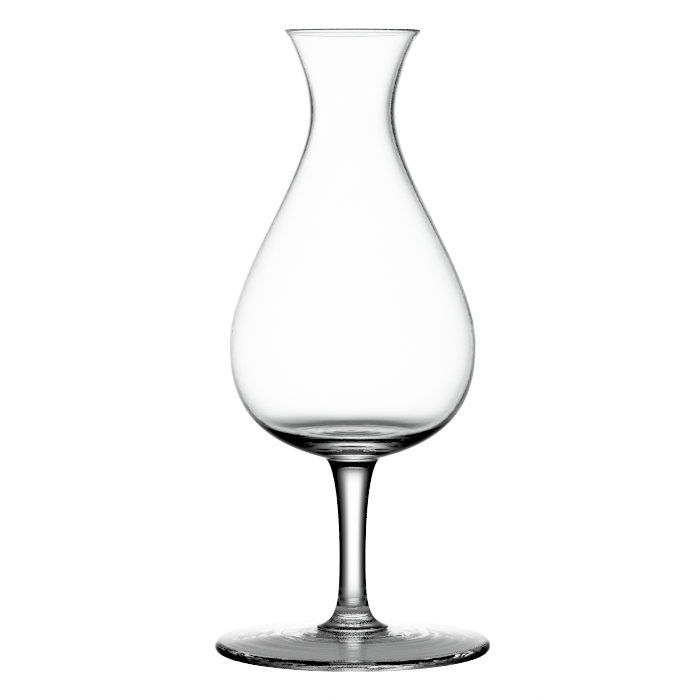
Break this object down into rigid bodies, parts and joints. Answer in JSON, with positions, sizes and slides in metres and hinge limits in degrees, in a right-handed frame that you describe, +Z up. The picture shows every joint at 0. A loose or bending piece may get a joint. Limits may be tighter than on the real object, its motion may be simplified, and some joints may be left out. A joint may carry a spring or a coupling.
{
  "type": "whisky nosing glass",
  "caption": "Stemmed whisky nosing glass with a flared mouth, narrow neck and teardrop bowl on a solid stem and a thick round foot.",
  "frame": {"origin": "centre of the foot's underside, on the plane that the glass stands on", "axes": "+Z up along the axis of the glass; the glass is round, so X and Y are free"},
  "size_m": [0.076, 0.076, 0.1703],
  "materials": {
    "bowl_crystal": "blown, fire-polished",
    "stem_crystal": "hot-drawn, fire-polished",
    "foot_crystal": "pressed and spun, fire-polished"
  },
  "bodies": {
    "root": {"bowl": "bowl_crystal", "stem": "stem_crystal", "foot": "foot_crystal"}
  },
  "joints": []
}
